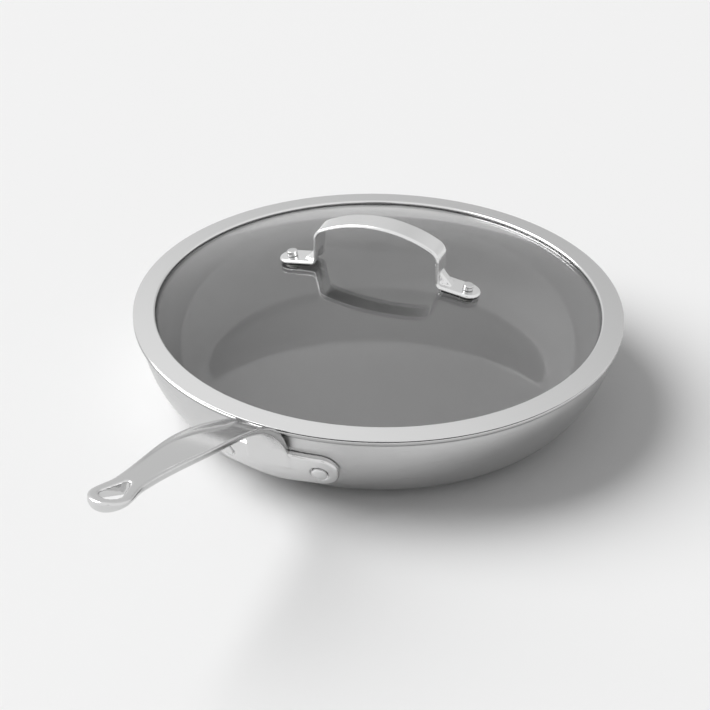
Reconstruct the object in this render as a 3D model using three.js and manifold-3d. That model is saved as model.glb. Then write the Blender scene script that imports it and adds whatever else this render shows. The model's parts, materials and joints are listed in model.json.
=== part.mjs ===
// Covered frying pan, 30 cm: a clad pan with a riveted cast handle, and a domed glass lid that lifts off.
// Millimetres, +Z up. The origin is the middle of the pan's underside, and the handle points along -Y.

import * as THREE from 'three';
import Module from 'manifold-3d';
import { mergeVertices } from 'three/addons/utils/BufferGeometryUtils.js';

const wasm = await Module();
wasm.setup();

// Facets
const SEGMENTS = 44; // round the pan and the lid
const SMALL_SEGMENTS = 12; // round a rivet or a washer
const WALL_STEPS = 7;
const LIP_STEPS = 2;
const DOME_STEPS = 6;
const ARC_STEPS = 5;
const BEAD_STEPS = 3; // round the lid's edge
const BRACKET_STEPS = 10; // between the two rivets
const GRIP_STEPS = 20; // from the root to the tip's round end
const END_STEPS = 5; // round the end of the bracket or the grip
const END_TURN = 81; // degrees that those steps cover
const WELD = 1e-4; // corners this close are one corner
const HALVINGS = 40; // of a search along a curve

// Pan shell: the outside line of the sheet, from the flat underside up a curved wall to a flared lip
const BASE_R = 107;
const BASE_PULL = 36.4; // how firmly the curve leaves the floor
const WALL_R = 154;
const WALL_H = 54;
const WALL_PULL = 13; // how firmly the curve runs into the upright top of the wall
const WALL_LEAN = 1; // degrees outwards at the top of the wall
const LIP_OUT = 4;
const LIP_RISE = 3;

// Pan shell: the plies of the clad sheet and the coating, with the bond lines left as hairline gaps
const OUTER_PLY = 0.5;
const CORE = 1.5;
const INNER_PLY = 0.5;
const COATING = 0.25;
const BOND_GAP = 0.05;

// Pan handle: the bracket on the wall
const BRACKET_H = 33.3; // height of its middle line on the wall
const BRACKET_GAP = 0.3;
const BRACKET_T = 4.5;
const BRACKET_END_R = 11.6;
const BRACKET_BELLY = 3.6; // how far its lower edge hangs below the round ends
const BRACKET_EDGE = 2.2; // rounding of its outer edge
const MAX_ROUND = 0.65; // the largest share of a half width that a rounding takes
const RIVET_SPACING = 60;

// Pan handle: the cast grip that rises out of the bracket, along the line that its two rims share
const NECK_ROOT_UP = 3.4; // up the wall from the bracket's middle line
const NECK_SET_BACK = 2.5; // from the bracket's face in to the line of the rims
const NECK_PULL = 52.5;
const NECK_ANGLE = 77.6; // degrees from level
const GRIP_PULL = 100.6;
const GRIP_ANGLE = 11.2; // degrees from level, at the tip
const HANDLE_REACH = 185.8; // from the root of the neck to the tip, level
const HANDLE_RISE = 87.8; // from the root of the neck to the tip, upright
const NECK_SIDE = 2.2; // height of the upright sides, at the neck
const GRIP_SIDE = 3.6; // height of the upright sides, at the grip
const SIDE_LEAN = 0.8; // how far each rim lies in from the edge below it
const RIM_DROP = 1.2; // height of the bevel that leans in
const NECK_CROWN = 3; // how far the neck's back stands over the rims
const PANEL_AT = 60; // along the handle, where the sunk panel is deepest
const PANEL_DEPTH = 3.2;
const PANEL_SLOPE = 2.2; // width of the slope round the panel
const NECK_HOLLOW = 1.6; // depth of the hollow under the neck
const HOLLOW_AT = 25; // along the handle, where that hollow starts to fade
const GRIP_BELLY = 3.4; // how far the underside hangs below the sides
const WAIST_BELLY = 4.8;
const TIP_BELLY = 2.5;
const END_ROUND = 3; // length over which the tip thins to its end
const ROOT_WIDTH = 27;
const CREST_AT = 41; // along the handle from the root
const CREST_WIDTH = 22.6;
const BELLY_AT = 110;
const BELLY_WIDTH = 28;
const WAIST_AT = 185;
const WAIST_WIDTH = 17.4;
const TIP_R = 11.5;
const HOLE_R = 6.3; // hanging hole, round end
const HOLE_NOSE_R = 2.2; // hanging hole, narrow end
const HOLE_LENGTH = 24.2;
const TIP_WALL = 6; // metal left between the hanging hole and the tip

// Pan handle: its rivets
const RIVET_R = 3;
const RIVET_HEAD_R = 4.8;
const RIVET_HEAD_H = 2.2;
const COUNTERBORE_R = 5.7;
const COUNTERBORE_DEPTH = 1.1;
const INNER_HEAD_R = 5.6;
const INNER_HEAD_H = 1.6;
const INNER_HEAD_GAP = 0.8; // a flat head on a curved wall
const RIM_SHARE = 0.5; // of a button head's height that is upright

// Lid glass: a cap cut from a ball
const BALL_R = 412;
const GLASS_T = 4;
const GLASS_LEVEL = 0.2; // glass over the lid's seat, at the band's inner edge

// Lid band and its bedding ring
const BAND_WIDTH = 14.25;
const BAND_T = 0.5;
const BAND_EDGE_H = 1.1; // at the outer edge
const BAND_LIP_H = 2.35; // at the inner edge
const BAND_LIP_DROP = 1.7; // how far the inner edge is turned down
const SKIRT_GAP = 1; // between the skirt and the pan's mouth
const LEDGE_DROP = 1; // space for the bedding ring under the glass
const LEDGE_WIDTH = 5.4;
const GLASS_EDGE_GAP = 2.3; // space for the bedding ring round the glass
const BED_GAP = 0.1;

// Lid handle: a bent strap on two feet
const STRAP_W = 17;
const STRAP_T = 2;
const FOOT_OUT = 59.2; // from the lid's axis to each rivet
const LEG_OUT = 41.3; // from the lid's axis to the middle of each leg
const STRAP_TOP = 35.2; // over the top of the glass
const ARCH_R = 80;
const CORNER_R = 8;
const BEND_R = 3;
const GUSSET_LEG = 7.5;
const GUSSET_WIDTH = 8;
const GUSSET_TAPER = 0.55; // size of the gusset at its sides, as a share of its middle

// Lid handle: what fixes each foot to the glass
const PAD_T = 1;
const PAD_INSET = 0.6;
const STUD_R = 2;
const STUD_HEAD_R = 3.5;
const STUD_HEAD_H = 3.2;
const STUD_CHAMFER = 0.5;
const STUD_TAIL_R = 3.2;
const STUD_TAIL_H = 1;
const BUSH_WALL = 0.8;
const GASKET_R = 5;
const GASKET_T = 0.8;
const WASHER_R = 5;
const WASHER_T = 0.8;

// Fits and the lid's place
const CLEARANCE = 0.3; // round a rivet, and between pieces that rest on each other
const LID_TURN = 4.2; // degrees that the lid is turned on the pan

const SHEET = OUTER_PLY + CORE + INNER_PLY + 2 * BOND_GAP;
const LINING = SHEET + BOND_GAP + COATING;
const LIP_R = WALL_R + LIP_OUT;
const SEAT_Z = WALL_H + LIP_RISE + SHEET + CLEARANCE;
const QUARTER_IN = 1 - Math.SQRT1_2; // how far the middle of a quarter round lies in from each face
const radians = THREE.MathUtils.degToRad;
const v2 = (x, y) => new THREE.Vector2(x, y);
const v3 = (x, y, z) => new THREE.Vector3(x, y, z);

// Meshes and solids

function signedVolume(position, index) {
  const [a, b, c] = [v3(), v3(), v3()];
  let sum = 0;
  for (let i = 0; i < index.length; i += 3) {
    a.fromBufferAttribute(position, index[i]);
    b.fromBufferAttribute(position, index[i + 1]);
    c.fromBufferAttribute(position, index[i + 2]);
    sum += a.dot(b.cross(c)) / 6;
  }
  return sum;
}

// The geometry with shared corners merged, flat-out triangles dropped and its faces pointing out.
function closed(geometry) {
  geometry.deleteAttribute('normal');
  geometry.deleteAttribute('uv');
  const merged = mergeVertices(geometry, WELD);
  const all = Array.from(merged.index.array);
  const index = [];
  for (let i = 0; i < all.length; i += 3) {
    const [a, b, c] = all.slice(i, i + 3);
    if (a !== b && b !== c && c !== a) index.push(a, b, c);
  }
  if (signedVolume(merged.attributes.position, index) < 0) index.reverse();
  merged.setIndex(index);
  return merged;
}

function solid(geometry) {
  const body = closed(geometry);
  const vertProperties = new Float32Array(body.attributes.position.array);
  const triVerts = new Uint32Array(body.index.array);
  return new wasm.Manifold(new wasm.Mesh({ numProp: 3, vertProperties, triVerts }));
}

function geometryOf(manifold) {
  const mesh = manifold.getMesh();
  const geometry = new THREE.BufferGeometry();
  geometry.setAttribute('position', new THREE.BufferAttribute(new Float32Array(mesh.vertProperties), 3));
  geometry.setIndex(Array.from(mesh.triVerts));
  return geometry;
}

// A profile of [radius, height] pairs turned about Z.
function turned(profile, segments = SEGMENTS) {
  const points = profile.map(([r, z]) => v2(r, z));
  return new THREE.LatheGeometry(points, segments).rotateX(Math.PI / 2);
}

function ring(profile, segments = SEGMENTS) {
  return turned([...profile, profile[0]], segments);
}

function cylinder(radius, bottom, top, segments = SMALL_SEGMENTS) {
  return turned([[0, bottom], [radius, bottom], [radius, top], [0, top]], segments);
}

function washer(inner, outer, bottom, top) {
  return ring([[inner, bottom], [outer, bottom], [outer, top], [inner, top]], SMALL_SEGMENTS);
}

// A skin over rings of points, all of one count, with both ends closed by flat caps.
function loft(rings) {
  const count = rings[0].length;
  const position = rings.flat().flatMap((p) => p.toArray());
  const index = [];
  for (let j = 0; j + 1 < rings.length; j += 1) {
    for (let i = 0; i < count; i += 1) {
      const a = j * count + i;
      const b = j * count + ((i + 1) % count);
      index.push(a, b, b + count, a, b + count, a + count);
    }
  }
  for (const first of [0, (rings.length - 1) * count]) {
    const flip = first === 0;
    for (let i = 1; i + 1 < count; i += 1) {
      const [b, c] = flip ? [i + 1, i] : [i, i + 1];
      index.push(first, first + b, first + c);
    }
  }
  const geometry = new THREE.BufferGeometry();
  geometry.setAttribute('position', new THREE.Float32BufferAttribute(position, 3));
  geometry.setIndex(index);
  return geometry;
}

function arc(x, y, radius, from, to, steps = ARC_STEPS) {
  const points = [];
  for (let i = 0; i <= steps; i += 1) {
    const angle = from + ((to - from) * i) / steps;
    points.push([x + radius * Math.cos(angle), y + radius * Math.sin(angle)]);
  }
  return points;
}

// The outline of a button head, from the edge of its seat over an upright rim and a low dome to the axis.
function buttonHead(radius, seat, height) {
  const rim = seat + RIM_SHARE * height;
  const dome = (1 - RIM_SHARE) * height;
  const shoulder = [radius * Math.SQRT1_2, rim + dome * Math.SQRT1_2];
  return [[radius, seat], [radius, rim], shoulder, [0, seat + height]];
}

// Even turns, in radians, round the end of a piece that is closed by a small flat.
function endTurns() {
  return Array.from({ length: END_STEPS }, (_, i) => (radians(END_TURN) * (i + 1)) / END_STEPS);
}

function shapeOf(points) {
  return new THREE.Shape(points.map(([x, y]) => v2(x, y)));
}

function piece(name, geometry, look) {
  const mesh = new THREE.Mesh(geometry, look);
  mesh.name = name;
  return mesh;
}

// Finishes

function finish(color, roughness, metalness) {
  return new THREE.MeshStandardMaterial({ color, roughness, metalness });
}

const brushedSteel = finish(0xb4b4b2, 0.38, 1);
const polishedSteel = finish(0xc8c8c6, 0.16, 1);
const castSteel = finish(0xbababa, 0.24, 1);
const aluminium = finish(0xc0c2c4, 0.45, 1);
const ceramic = finish(0x7c7c7b, 0.42, 0);
const silicone = finish(0x1c1c1d, 0.7, 0);
const clearSilicone = finish(0xe2e2e0, 0.5, 0);
const glass = finish(0xe6ecea, 0.05, 0);
glass.transparent = true;
glass.opacity = 0.35;

// Pan shell

const wallTop = v2(WALL_R, WALL_H);
const upright = v2(Math.sin(radians(WALL_LEAN)), Math.cos(radians(WALL_LEAN)));
const wallLine = new THREE.CubicBezierCurve(
  v2(BASE_R, 0),
  v2(BASE_R + BASE_PULL, 0),
  wallTop.clone().addScaledVector(upright, -WALL_PULL),
  wallTop,
);
const lipLine = new THREE.QuadraticBezierCurve(
  wallTop,
  wallTop.clone().addScaledVector(upright, LIP_RISE),
  v2(LIP_R, WALL_H + LIP_RISE),
);

// The inward normal of a line that runs out and up.
const inward = (tangent) => v2(-tangent.y, tangent.x);

function offsetPoint(line, t, depth) {
  const point = line.getPoint(t).addScaledVector(inward(line.getTangent(t)), depth);
  return [point.x, point.y];
}

// The sheet's line at a depth inside its outside face, from the axis to the lip or to the top of the wall.
function sheetLine(depth, withLip) {
  const points = [[0, depth], [BASE_R, depth]];
  for (let i = 1; i <= WALL_STEPS; i += 1) {
    points.push(offsetPoint(wallLine, i / WALL_STEPS, depth));
  }
  for (let i = 1; withLip && i <= LIP_STEPS; i += 1) {
    points.push(offsetPoint(lipLine, i / LIP_STEPS, depth));
  }
  return points;
}

function shell(outside, inside, withLip = true) {
  return turned([...sheetLine(outside, withLip), ...sheetLine(inside, withLip).reverse()]);
}

// Places on the wall: the bracket's middle line, and points up the wall and out from it

function wallShareAt(height) {
  let [low, high] = [0, 1];
  for (let i = 0; i < HALVINGS; i += 1) {
    const middle = (low + high) / 2;
    if (wallLine.getPointAt(middle).y < height) low = middle;
    else high = middle;
  }
  return low;
}

const bracketShare = wallShareAt(BRACKET_H);
const wallLength = wallLine.getLength();

function onWall(up, out) {
  const share = Math.min(bracketShare + up / wallLength, 1);
  const over = Math.max(bracketShare * wallLength + up - wallLength, 0);
  const point = wallLine.getPointAt(share);
  const tangent = wallLine.getTangentAt(share);
  return point.addScaledVector(tangent, over).addScaledVector(inward(tangent), -out);
}

// Radius and height turned about the axis from the handle's direction.
function around(point, angle) {
  return v3(point.x * Math.sin(angle), -point.x * Math.cos(angle), point.y);
}

const seatRadius = onWall(0, 0).x;
const rivetAngle = Math.asin(RIVET_SPACING / 2 / seatRadius);

// A group at a rivet: its Z points out of the wall, its origin is on the sheet's outside face.
function rivetPlace(side) {
  const [foot, head] = [onWall(0, 0), onWall(0, 1)];
  const place = new THREE.Object3D();
  place.position.copy(around(foot, side * rivetAngle));
  const out = around(head, side * rivetAngle).sub(place.position);
  place.quaternion.setFromUnitVectors(v3(0, 0, 1), out.normalize());
  place.updateMatrixWorld();
  return place;
}

const SIDES = { left: -1, right: 1 };
const rivetPlaces = Object.values(SIDES).map(rivetPlace);

function cutAtRivets(body, radius, bottom, top) {
  return rivetPlaces.reduce(
    (rest, place) => rest.subtract(solid(cylinder(radius, bottom, top).applyMatrix4(place.matrixWorld))),
    body,
  );
}

const rivetBore = RIVET_R + CLEARANCE;
const headSeat = BRACKET_GAP + BRACKET_T - COUNTERBORE_DEPTH;
const throughAll = RIVET_HEAD_H + BRACKET_T + LINING;

function ply(name, outside, inside, look, withLip = true) {
  const drilled = cutAtRivets(solid(shell(outside, inside, withLip)), rivetBore, -throughAll, throughAll);
  return piece(name, geometryOf(drilled), look);
}

// Pan handle: the bracket, a curved plate with round ends that follows the wall

const rivetArc = rivetAngle * seatRadius;

function bracketSection(along) {
  const past = Math.max(Math.abs(along) - rivetArc, 0) / BRACKET_END_R;
  const top = BRACKET_END_R * Math.sqrt(1 - past * past);
  const inner = Math.min(Math.abs(along) / rivetArc, 1);
  const bottom = top + (BRACKET_BELLY * (1 + Math.cos(Math.PI * inner))) / 2;
  const edge = Math.min(BRACKET_EDGE, MAX_ROUND * top);
  const [low, high] = [BRACKET_GAP, BRACKET_GAP + BRACKET_T];
  const shoulder = high - edge;
  const bevel = QUARTER_IN * edge;
  const outline = [
    [top, low], [top / 2, low], [0, low], [-bottom / 2, low], [-bottom, low],
    [-bottom, shoulder], [-bottom + bevel, high - bevel], [-bottom + edge, high],
    [0, high],
    [top - edge, high], [top - bevel, high - bevel], [top, shoulder],
  ];
  const angle = along / seatRadius;
  return outline.map(([up, out]) => around(onWall(up, out), angle));
}

function bracketGeometry() {
  const end = endTurns().map((turn) => rivetArc + BRACKET_END_R * Math.sin(turn));
  const steps = Array.from({ length: BRACKET_STEPS + 1 }, (_, i) => (2 * i) / BRACKET_STEPS - 1);
  const middle = steps.map((share) => rivetArc * share);
  const stations = [...end.map((along) => -along).reverse(), ...middle, ...end];
  return loft(stations.map(bracketSection));
}

// Pan handle: the neck and grip, one section carried along the line of the rims.
// Its back changes from a crown over the neck to a sunk panel, and its underside from a hollow to a belly.

const root = onWall(NECK_ROOT_UP, BRACKET_GAP + BRACKET_T - NECK_SET_BACK);
const tip = v2(root.x + HANDLE_REACH, root.y + HANDLE_RISE);
const atAngle = (degrees, length) => v2(length, 0).rotateAround(v2(0, 0), radians(degrees));
const spine = new THREE.CubicBezierCurve(
  root,
  root.clone().add(atAngle(NECK_ANGLE, NECK_PULL)),
  tip.clone().sub(atAngle(GRIP_ANGLE, GRIP_PULL)),
  tip,
);
const handleLength = spine.getLength();
const tipCentre = handleLength - TIP_R;

function keyed(at, keys) {
  const next = keys.findIndex(([place]) => place >= at);
  if (next === 0) return keys[0][1];
  if (next < 0) return keys[keys.length - 1][1];
  const [[a, from], [b, to]] = [keys[next - 1], keys[next]];
  return from + (to - from) * THREE.MathUtils.smoothstep(at, a, b);
}

function halfWidth(at) {
  if (at > tipCentre) return Math.sqrt(Math.max(TIP_R ** 2 - (at - tipCentre) ** 2, 0));
  const keys = [
    [0, ROOT_WIDTH], [CREST_AT, CREST_WIDTH], [BELLY_AT, BELLY_WIDTH],
    [WAIST_AT, WAIST_WIDTH], [tipCentre, 2 * TIP_R],
  ];
  return keyed(at, keys) / 2;
}

function handleSection(at) {
  const half = halfWidth(at);
  const rim = half - Math.min(SIDE_LEAN, QUARTER_IN * half);
  const floor = rim - Math.min(PANEL_SLOPE, MAX_ROUND * rim);
  const side = keyed(at, [[CREST_AT, NECK_SIDE], [BELLY_AT, GRIP_SIDE]]);
  const back = keyed(at, [[0, 0], [CREST_AT, NECK_CROWN], [PANEL_AT, -PANEL_DEPTH], [WAIST_AT, 0]]);
  const belly = keyed(at, [
    [HOLLOW_AT, -NECK_HOLLOW], [PANEL_AT, GRIP_BELLY], [BELLY_AT, GRIP_BELLY],
    [WAIST_AT, WAIST_BELLY], [tipCentre, TIP_BELLY],
  ]);
  const over = (across) => (back > 0 ? back * (1 - (across / rim) ** 2) : back);
  const under = (share) => [share * half, -side - belly * (1 - share * share)];
  const right = [
    [0, back], [floor / 2, over(floor / 2)], [floor, over(floor)], [rim, 0],
    [half, -Math.min(RIM_DROP, side / 2)], under(1), under(0.7), under(0.4), under(0),
  ];
  const toEnd = Math.max(at - (handleLength - END_ROUND), 0) / END_ROUND;
  const thinned = Math.sqrt(1 - toEnd * toEnd);
  const level = -(GRIP_SIDE + TIP_BELLY) / 2;
  const left = right.slice(1, -1).reverse().map(([across, up]) => [-across, up]);
  const share = Math.min(at / handleLength, 1);
  const point = spine.getPointAt(share);
  const normal = inward(spine.getTangentAt(share));
  return [...right, ...left].map(([across, up]) => {
    const place = point.clone().addScaledVector(normal, level + thinned * (up - level));
    return v3(across, -place.x, place.y);
  });
}

function gripGeometry() {
  const body = Array.from({ length: GRIP_STEPS + 1 }, (_, i) => (tipCentre * i) / GRIP_STEPS);
  const end = endTurns().map((turn) => tipCentre + TIP_R * Math.sin(turn));
  return loft([...body, ...end].map(handleSection));
}

// The hanging hole: a drop with its narrow end towards the pan, cut square to the grip.
function hangingHole() {
  const apart = HOLE_LENGTH - HOLE_R - HOLE_NOSE_R;
  const lean = Math.asin((HOLE_R - HOLE_NOSE_R) / apart);
  const outline = [
    ...arc(0, 0, HOLE_R, -Math.PI / 2 - lean, Math.PI / 2 + lean, 2 * ARC_STEPS),
    ...arc(-apart, 0, HOLE_NOSE_R, Math.PI / 2 + lean, 1.5 * Math.PI - lean),
  ];
  const depth = 4 * (GRIP_SIDE + WAIST_BELLY);
  const drop = new THREE.ExtrudeGeometry(shapeOf(outline), { depth, bevelEnabled: false });
  const share = (handleLength - TIP_WALL - HOLE_R) / handleLength;
  const [point, along] = [spine.getPointAt(share), spine.getTangentAt(share)];
  const normal = inward(along);
  const out = v3(0, -along.x, along.y);
  const up = v3(0, -normal.x, normal.y);
  const place = new THREE.Matrix4().makeBasis(out, up.clone().cross(out), up);
  place.setPosition(v3(0, -point.x, point.y).addScaledVector(up, -depth / 2));
  return drop.applyMatrix4(place);
}

function panHandle() {
  const cast = solid(bracketGeometry()).add(solid(gripGeometry())).subtract(solid(hangingHole()));
  const bored = cutAtRivets(cast, rivetBore, -CLEARANCE, headSeat + CLEARANCE);
  return cutAtRivets(bored, COUNTERBORE_R, headSeat, headSeat + throughAll);
}

function handleRivet() {
  const seat = headSeat + CLEARANCE;
  const inside = -LINING - INNER_HEAD_GAP;
  return turned([
    ...buttonHead(INNER_HEAD_R, inside, -INNER_HEAD_H).reverse(),
    [RIVET_R, inside], [RIVET_R, seat],
    ...buttonHead(RIVET_HEAD_R, seat, RIVET_HEAD_H),
  ], SMALL_SEGMENTS);
}

function pan() {
  const group = new THREE.Group();
  const coreIn = OUTER_PLY + BOND_GAP;
  const innerIn = coreIn + CORE + BOND_GAP;
  group.add(ply('pan_outer_ply', 0, OUTER_PLY, brushedSteel));
  group.add(ply('pan_core', coreIn, coreIn + CORE, aluminium));
  group.add(ply('pan_inner_ply', innerIn, SHEET, polishedSteel));
  group.add(ply('nonstick_coating', SHEET + BOND_GAP, LINING, ceramic, false));
  group.add(piece('pan_handle', geometryOf(panHandle()), castSteel));
  Object.keys(SIDES).forEach((side, i) => {
    const rivet = piece(`handle_rivet_${side}`, closed(handleRivet()), polishedSteel);
    rivet.position.copy(rivetPlaces[i].position);
    rivet.quaternion.copy(rivetPlaces[i].quaternion);
    group.add(rivet);
  });
  return group;
}

// Lid glass, in the lid's own frame: its seat on the lip is at height 0

const mouthR = WALL_R - SHEET;
const skirtR = mouthR * Math.cos(Math.PI / SEGMENTS) - SKIRT_GAP;
const skirtIn = skirtR - BAND_T;
const glassR = skirtIn - GLASS_EDGE_GAP;
const bandInnerR = LIP_R - BAND_WIDTH;
const ballDrop = (radius, ball) => ball - Math.sqrt(ball * ball - radius * radius);
const glassTop = GLASS_LEVEL + ballDrop(bandInnerR, BALL_R);
const overGlass = (radius) => glassTop - ballDrop(radius, BALL_R);
const underGlass = (radius) => glassTop - GLASS_T - ballDrop(radius, BALL_R - GLASS_T);

function glassGeometry() {
  const radii = Array.from({ length: DOME_STEPS + 1 }, (_, i) => (glassR * i) / DOME_STEPS);
  const below = radii.map((r) => [r, underGlass(r)]);
  const above = radii.map((r) => [r, overGlass(r)]).reverse();
  return turned([...below, ...above]);
}

// Lid band: a sheet folded flat at its edge, with a skirt inside the pan's mouth and a ledge under the glass

const ledgeAt = (radius) => underGlass(radius) - LEDGE_DROP;
const bandSlope = (BAND_LIP_H - BAND_EDGE_H) / BAND_WIDTH;
const bandTop = (radius) => BAND_EDGE_H + bandSlope * (LIP_R - radius);
const bandUnder = (radius) => bandTop(radius) - BAND_T;

function bandGeometry() {
  const bead = BAND_EDGE_H / 2;
  const ledgeIn = skirtR - LEDGE_WIDTH;
  const lipBottom = BAND_LIP_H - BAND_LIP_DROP;
  return ring([
    [bandInnerR, lipBottom],
    [bandInnerR + BAND_T, lipBottom], [bandInnerR + BAND_T, bandUnder(bandInnerR + BAND_T)],
    [skirtIn, bandUnder(skirtIn)],
    [skirtIn, ledgeAt(skirtIn)], [ledgeIn, ledgeAt(ledgeIn)],
    [ledgeIn, ledgeAt(ledgeIn) - BAND_T], [skirtIn, ledgeAt(skirtIn) - BAND_T], [skirtR, ledgeAt(skirtR)],
    [skirtR, 0],
    ...arc(LIP_R - bead, bead, bead, -Math.PI / 2, Math.PI / 2, BEAD_STEPS),
    [bandInnerR + BAND_T, bandTop(bandInnerR + BAND_T)], [bandInnerR, BAND_LIP_H - BAND_T],
  ]);
}

function sealGeometry() {
  const outer = skirtIn - BED_GAP;
  const hollow = glassR + BED_GAP;
  const topIn = bandInnerR + BAND_T + BED_GAP;
  const ledgeIn = skirtR - LEDGE_WIDTH;
  return ring([
    [topIn, overGlass(topIn) + BED_GAP],
    [topIn, bandUnder(topIn) - BED_GAP], [outer, bandUnder(outer) - BED_GAP],
    [outer, ledgeAt(outer) + BED_GAP], [ledgeIn, ledgeAt(ledgeIn) + BED_GAP],
    [ledgeIn, underGlass(ledgeIn) - BED_GAP],
    [hollow, underGlass(hollow) - BED_GAP], [hollow, overGlass(hollow) + BED_GAP],
  ]);
}

// Lid handle, in the plane of its arch: x along the strap, y up

const tilt = Math.asin(FOOT_OUT / BALL_R);
const footNormal = v2(Math.sin(tilt), Math.cos(tilt));
const footAlong = v2(Math.cos(tilt), -Math.sin(tilt));
const onGlass = v2(FOOT_OUT, overGlass(FOOT_OUT));
const padLow = CLEARANCE;
const footLow = padLow + PAD_T + CLEARANCE;
const footMiddle = onGlass.clone().addScaledVector(footNormal, footLow + STRAP_T / 2);
const footEnd = footMiddle.clone().addScaledVector(footAlong, STRAP_W);
const bendX = LEG_OUT + BEND_R;
const bendY = footMiddle.y + (BEND_R - (bendX - footMiddle.x) * footNormal.x) / footNormal.y;
const archY = glassTop + STRAP_TOP - STRAP_T / 2 - ARCH_R;
const cornerX = LEG_OUT - CORNER_R;
const cornerRise = Math.sqrt((ARCH_R - CORNER_R) ** 2 - cornerX ** 2);
const cornerTurn = Math.atan2(cornerRise, cornerX);

// One face of the right half of the strap, from its foot's end to the top of the arch.
function strapFace(out) {
  const end = footEnd.clone().addScaledVector(footNormal, out);
  return [
    [end.x, end.y],
    ...arc(bendX, bendY, BEND_R - out, 1.5 * Math.PI - tilt, Math.PI),
    ...arc(cornerX, archY + cornerRise, CORNER_R + out, 0, cornerTurn),
    ...arc(0, archY, ARCH_R + out, cornerTurn, Math.PI / 2).slice(1),
  ];
}

function mirrored(points) {
  return points.slice(0, -1).reverse().map(([x, y]) => [-x, y]);
}

// An outline in the arch's plane made solid across the strap.
function acrossStrap(outline, width) {
  const slab = new THREE.ExtrudeGeometry(shapeOf(outline), { depth: width, bevelEnabled: false });
  return slab.rotateX(Math.PI / 2).translate(0, width / 2, 0);
}

// A pressed gusset: a ridge that spans the bend between a leg and its foot.
function gusset() {
  const corner = v2(bendX - BEND_R, bendY - BEND_R);
  const rings = [-1, 0, 1].map((side) => {
    const size = side === 0 ? GUSSET_LEG : GUSSET_TAPER * GUSSET_LEG;
    const leg = corner.clone().add(v2(0, size));
    const foot = corner.clone().addScaledVector(footAlong, size);
    const across = (side * GUSSET_WIDTH) / 2;
    return [corner, foot, leg].map((p) => v3(p.x, across, p.y));
  });
  return loft(rings);
}

function footCylinder(side, radius, bottom, top) {
  return cylinder(radius, bottom, top).applyMatrix4(footPlace(side).matrixWorld);
}

// A group at a foot's rivet: its Z points out of the glass, its origin is on the glass.
function footPlace(side) {
  const place = new THREE.Object3D();
  place.position.set(side * onGlass.x, 0, onGlass.y);
  place.rotation.set(0, side * tilt, 0);
  place.updateMatrixWorld();
  return place;
}

function lidHandle() {
  const [upper, lower] = [strapFace(STRAP_T / 2), strapFace(-STRAP_T / 2)];
  const outline = [...upper, ...mirrored(upper), ...[...lower, ...mirrored(lower)].reverse()];
  const end = STRAP_W / 2;
  const plan = [
    ...arc(footMiddle.x, 0, end, -Math.PI / 2, Math.PI / 2, 2 * ARC_STEPS),
    ...arc(-footMiddle.x, 0, end, Math.PI / 2, 1.5 * Math.PI, 2 * ARC_STEPS),
  ];
  const height = glassTop + STRAP_TOP + STRAP_W;
  const roundEnds = new THREE.ExtrudeGeometry(shapeOf(plan), { depth: height, bevelEnabled: false });
  let strap = solid(acrossStrap(outline, STRAP_W)).intersect(solid(roundEnds));
  for (const side of Object.values(SIDES)) {
    const ridge = side > 0 ? gusset() : gusset().rotateZ(Math.PI);
    strap = strap.add(solid(ridge));
    strap = strap.subtract(solid(footCylinder(side, boltBore, 0, STRAP_W)));
  }
  return strap;
}

// What fixes a foot: pieces turned about the rivet, in the foot's own frame

const boltBore = STUD_R + CLEARANCE;
const bushR = boltBore + BUSH_WALL;
const glassBore = bushR + CLEARANCE;
const gasketTop = -GLASS_T - CLEARANCE;
const washerTop = gasketTop - GASKET_T - CLEARANCE;
const tailTop = washerTop - WASHER_T - CLEARANCE;
const headLow = footLow + STRAP_T + CLEARANCE;

function stud() {
  const headTop = headLow + STUD_HEAD_H;
  return turned([
    ...buttonHead(STUD_TAIL_R, tailTop, -STUD_TAIL_H).reverse(),
    [STUD_R, tailTop], [STUD_R, headLow],
    [STUD_HEAD_R, headLow], [STUD_HEAD_R, headTop - STUD_CHAMFER],
    [STUD_HEAD_R - STUD_CHAMFER, headTop], [0, headTop],
  ], SMALL_SEGMENTS);
}

// The pad has the foot's outline, from its round end to where the strap bends up.
function footPad(side) {
  const end = STRAP_W / 2 - PAD_INSET;
  const length = FOOT_OUT - bendX;
  const outline = arc(0, 0, end, -Math.PI / 2, Math.PI / 2, 2 * ARC_STEPS);
  const shape = shapeOf([...outline, [-length, end], [-length, -end]]);
  const bore = arc(0, 0, boltBore, 0, -2 * Math.PI, SMALL_SEGMENTS).slice(1);
  shape.holes.push(shapeOf(bore));
  const pad = new THREE.ExtrudeGeometry(shape, { depth: PAD_T, bevelEnabled: false });
  return pad.translate(0, 0, padLow).rotateZ(side > 0 ? 0 : Math.PI);
}

function footFixings(name, side) {
  const group = new THREE.Group();
  const place = footPlace(side);
  group.position.copy(place.position);
  group.quaternion.copy(place.quaternion);
  const bush = washer(boltBore, bushR, -GLASS_T, 0);
  const gasket = washer(boltBore, GASKET_R, gasketTop - GASKET_T, gasketTop);
  const backing = washer(boltBore, WASHER_R, washerTop - WASHER_T, washerTop);
  group.add(piece(`lid_rivet_${name}`, closed(stud()), polishedSteel));
  group.add(piece(`foot_pad_${name}`, closed(footPad(side)), silicone));
  group.add(piece(`glass_bush_${name}`, closed(bush), clearSilicone));
  group.add(piece(`under_gasket_${name}`, closed(gasket), clearSilicone));
  group.add(piece(`backing_washer_${name}`, closed(backing), polishedSteel));
  return group;
}

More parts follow.
